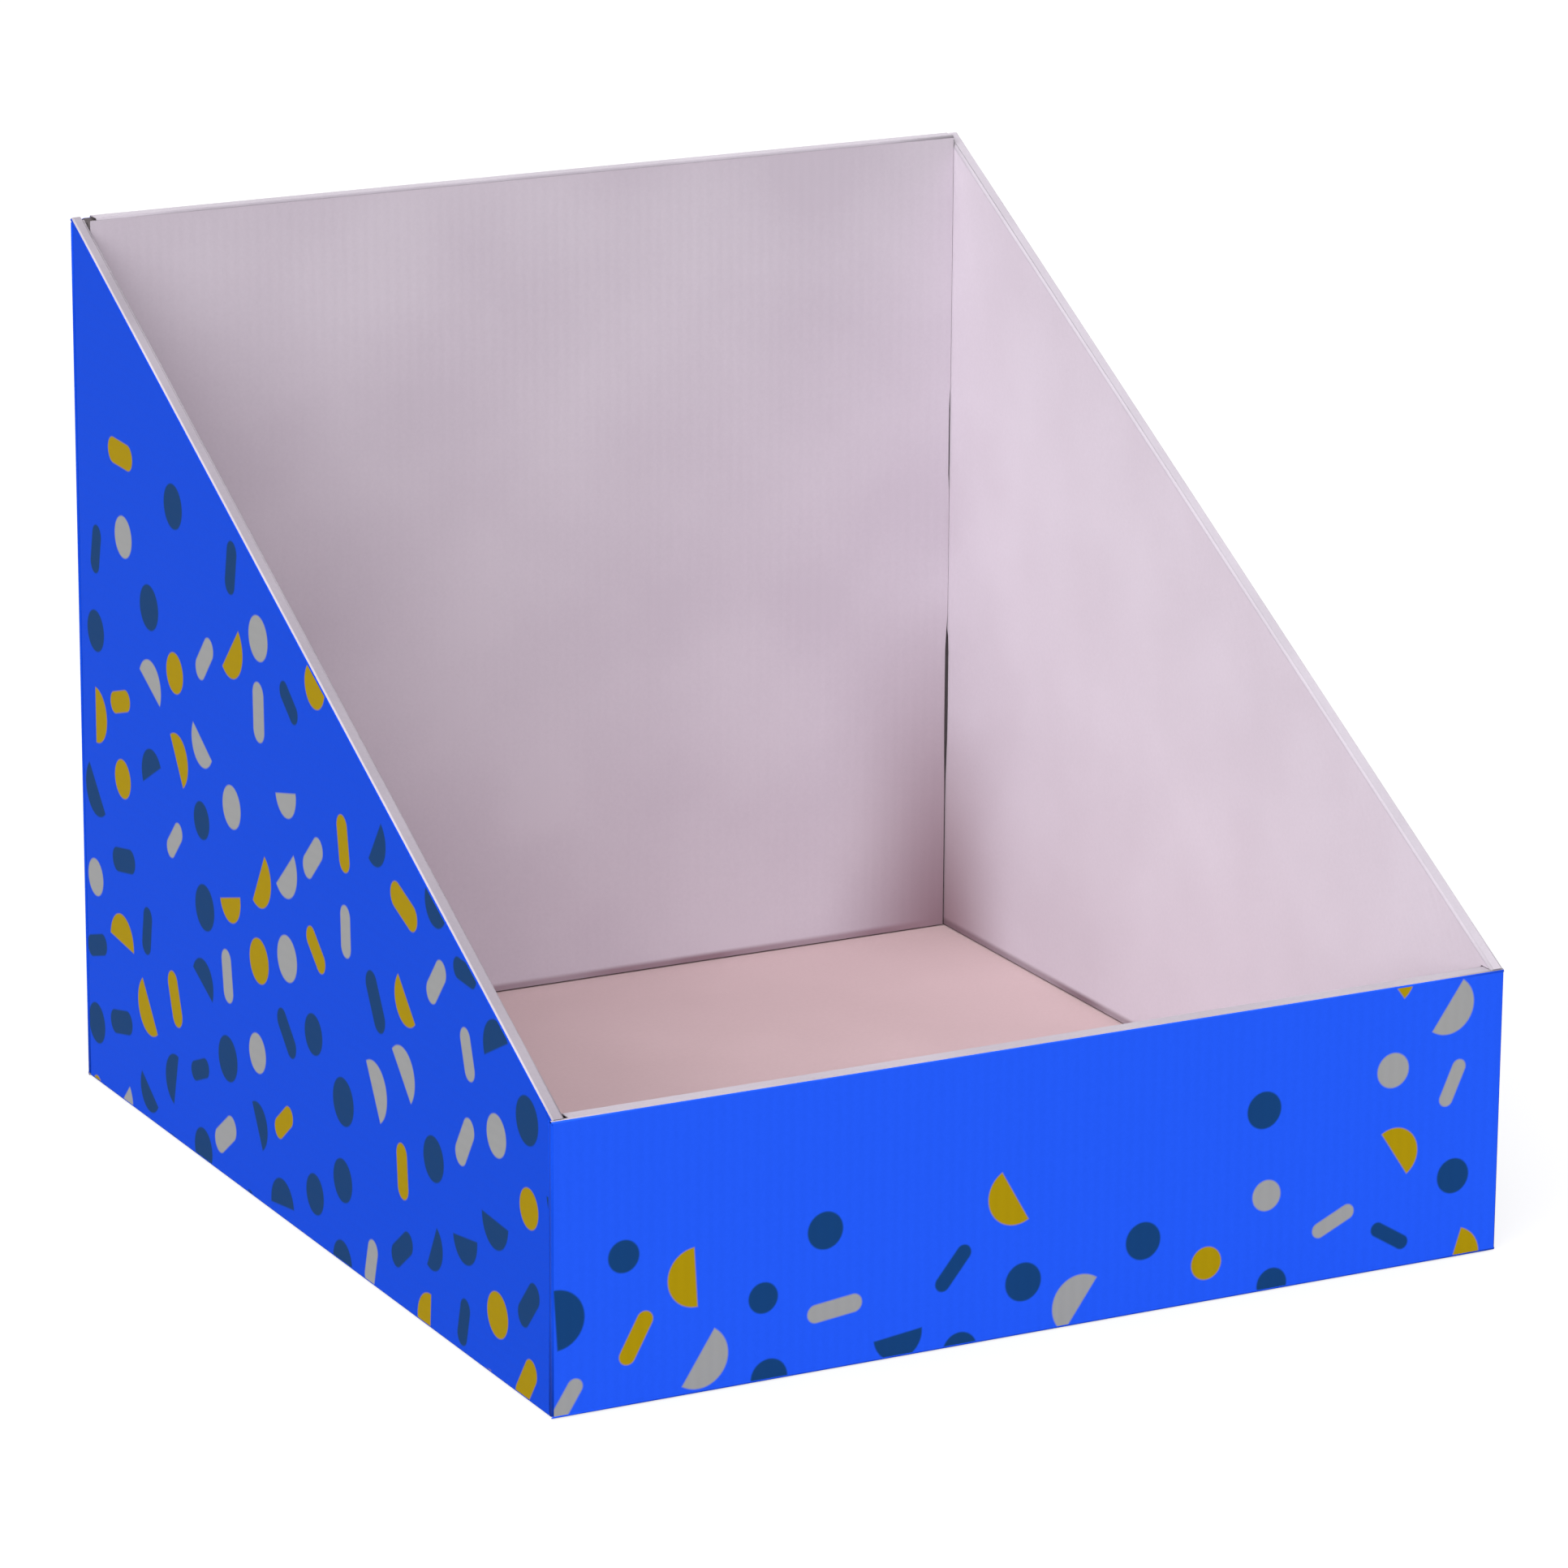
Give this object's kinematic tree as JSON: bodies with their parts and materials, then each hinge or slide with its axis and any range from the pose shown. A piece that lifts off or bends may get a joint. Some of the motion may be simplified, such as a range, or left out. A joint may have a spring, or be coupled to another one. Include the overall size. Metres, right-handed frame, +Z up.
{
  "type": "counter display box",
  "caption": "Open-front counter display box with slanted sides: a rolled-over double-walled tray of printed corrugated board on a stiffened floor, with every crease as a fold.",
  "frame": {"origin": "middle of the underside", "axes": "+Z up, -Y towards the customer, where the low front lip is, +X to the customer's right"},
  "size_m": [0.28, 0.305, 0.25],
  "materials": {
    "printed_board": "satin print on white-lined E-flute",
    "white_board": "smooth white liner",
    "pad_board": "matt off-white liner"
  },
  "bodies": {
    "tray": {"base_panel": "printed_board", "floor_pad": "pad_board"},
    "front_wall": {"front_outer_wall": "printed_board"},
    "front_rim": {"front_spine": "white_board"},
    "front_lining": {"front_inner_wall": "white_board"},
    "back_wall": {"back_outer_wall": "printed_board"},
    "back_rim": {"back_spine": "white_board"},
    "back_lining": {"back_inner_wall": "white_board"},
    "left_side": {"left_outer_wall": "printed_board", "left_front_flap": "printed_board", "left_back_flap": "printed_board"},
    "left_rim": {"left_spine": "white_board"},
    "left_lining": {"left_inner_wall": "white_board"},
    "right_side": {"right_outer_wall": "printed_board", "right_front_flap": "printed_board", "right_back_flap": "printed_board"},
    "right_rim": {"right_spine": "white_board"},
    "right_lining": {"right_inner_wall": "white_board"}
  },
  "joints": [
    {"name": "front_wall_fold", "type": "hinge", "parent": "tray", "child": "front_wall", "pos_m": [0, -0.1525, 0], "axis": [1, 0, 0], "range_deg": [0, 90]},
    {"name": "front_spine_fold", "type": "hinge", "parent": "front_wall", "child": "front_rim", "pos_m": [0, -0.1525, 0.079], "axis": [1, 0, 0], "range_deg": [0, 90]},
    {"name": "front_inner_fold", "type": "hinge", "parent": "front_rim", "child": "front_lining", "pos_m": [0, -0.1474, 0.079], "axis": [1, 0, 0], "range_deg": [0, 90]},
    {"name": "back_wall_fold", "type": "hinge", "parent": "tray", "child": "back_wall", "pos_m": [0, 0.1525, 0], "axis": [-1, 0, 0], "range_deg": [0, 90]},
    {"name": "back_spine_fold", "type": "hinge", "parent": "back_wall", "child": "back_rim", "pos_m": [0, 0.1525, 0.25], "axis": [-1, 0, 0], "range_deg": [0, 90]},
    {"name": "back_inner_fold", "type": "hinge", "parent": "back_rim", "child": "back_lining", "pos_m": [0, 0.1474, 0.25], "axis": [-1, 0, 0], "range_deg": [0, 90]},
    {"name": "left_side_fold", "type": "hinge", "parent": "tray", "child": "left_side", "pos_m": [-0.14, 0, 0], "axis": [0, -1, 0], "range_deg": [0, 90]},
    {"name": "left_spine_fold", "type": "hinge", "parent": "left_side", "child": "left_rim", "pos_m": [-0.14, 0, 0.1645], "axis": [0, -0.8723, -0.489], "range_deg": [0, 90]},
    {"name": "left_inner_fold", "type": "hinge", "parent": "left_rim", "child": "left_lining", "pos_m": [-0.1362, 0, 0.1645], "axis": [0, -0.8723, -0.489], "range_deg": [0, 90]},
    {"name": "right_side_fold", "type": "hinge", "parent": "tray", "child": "right_side", "pos_m": [0.14, 0, 0], "axis": [0, 1, 0], "range_deg": [0, 90]},
    {"name": "right_spine_fold", "type": "hinge", "parent": "right_side", "child": "right_rim", "pos_m": [0.14, 0, 0.1645], "axis": [0, 0.8723, 0.489], "range_deg": [0, 90]},
    {"name": "right_inner_fold", "type": "hinge", "parent": "right_rim", "child": "right_lining", "pos_m": [0.1362, 0, 0.1645], "axis": [0, 0.8723, 0.489], "range_deg": [0, 90]}
  ],
  "couplings": [
    {"joint": "front_spine_fold", "follows": "front_wall_fold", "ratio": 1},
    {"joint": "front_inner_fold", "follows": "front_wall_fold", "ratio": 1},
    {"joint": "back_spine_fold", "follows": "back_wall_fold", "ratio": 1},
    {"joint": "back_inner_fold", "follows": "back_wall_fold", "ratio": 1},
    {"joint": "left_inner_fold", "follows": "left_spine_fold", "ratio": 1},
    {"joint": "right_inner_fold", "follows": "right_spine_fold", "ratio": 1}
  ]
}
